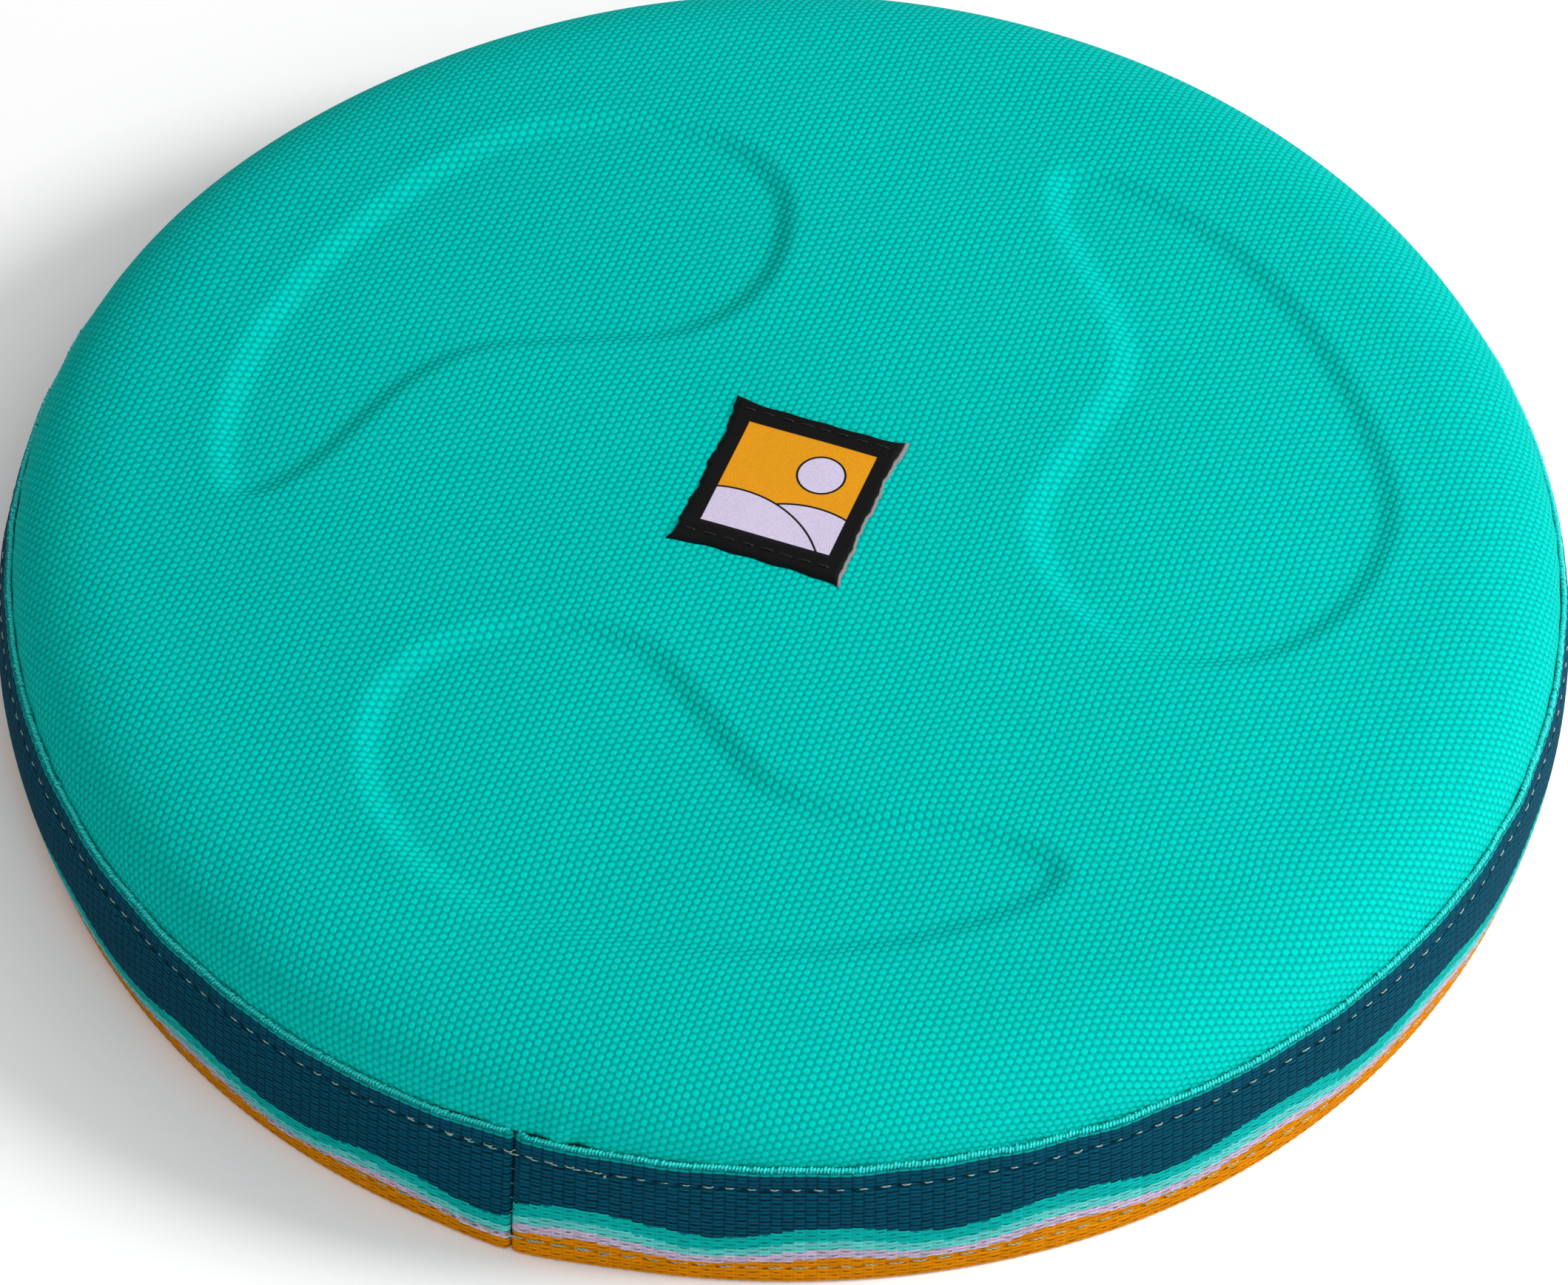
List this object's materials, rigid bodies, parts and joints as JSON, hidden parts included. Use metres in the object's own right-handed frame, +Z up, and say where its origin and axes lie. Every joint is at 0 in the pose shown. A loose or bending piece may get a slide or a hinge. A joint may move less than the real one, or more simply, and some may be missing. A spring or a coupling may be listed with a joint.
{
  "type": "flying disc",
  "caption": "Soft flying disc for lawn games: moulded foam cap with a woven cover, comma-shaped grip recesses, lined hollow underside and a sewn webbing rim.",
  "frame": {"origin": "centre of the rim's flat bottom edge", "axes": "+Z up through the crown of the dome, +X to the right and +Y to the back as the disc lies on the ground"},
  "size_m": [0.2338, 0.2338, 0.0412],
  "materials": {
    "cover_fabric": "coarse plain-woven polyester, matt with a slight sheen on each yarn",
    "foam": "closed-cell moulded foam, matt",
    "lining_fabric": "fine plain-woven lining, matt",
    "webbing": "patterned ribbed webbing in navy, teal, lilac and orange bands",
    "rim_thread": "twisted sewing thread with a soft sheen",
    "label": "satin-woven patch with a black border",
    "label_thread": "black sewing thread"
  },
  "bodies": {
    "root": {"top_cover": "cover_fabric", "foam_core": "foam", "underside_lining": "lining_fabric", "rim_webbing": "webbing", "upper_needle_thread": "rim_thread", "upper_bobbin_thread": "rim_thread", "lower_needle_thread": "rim_thread", "lower_bobbin_thread": "rim_thread", "joint_thread": "rim_thread", "woven_label": "label", "label_top_thread": "label_thread", "label_bottom_thread": "label_thread"}
  },
  "joints": []
}
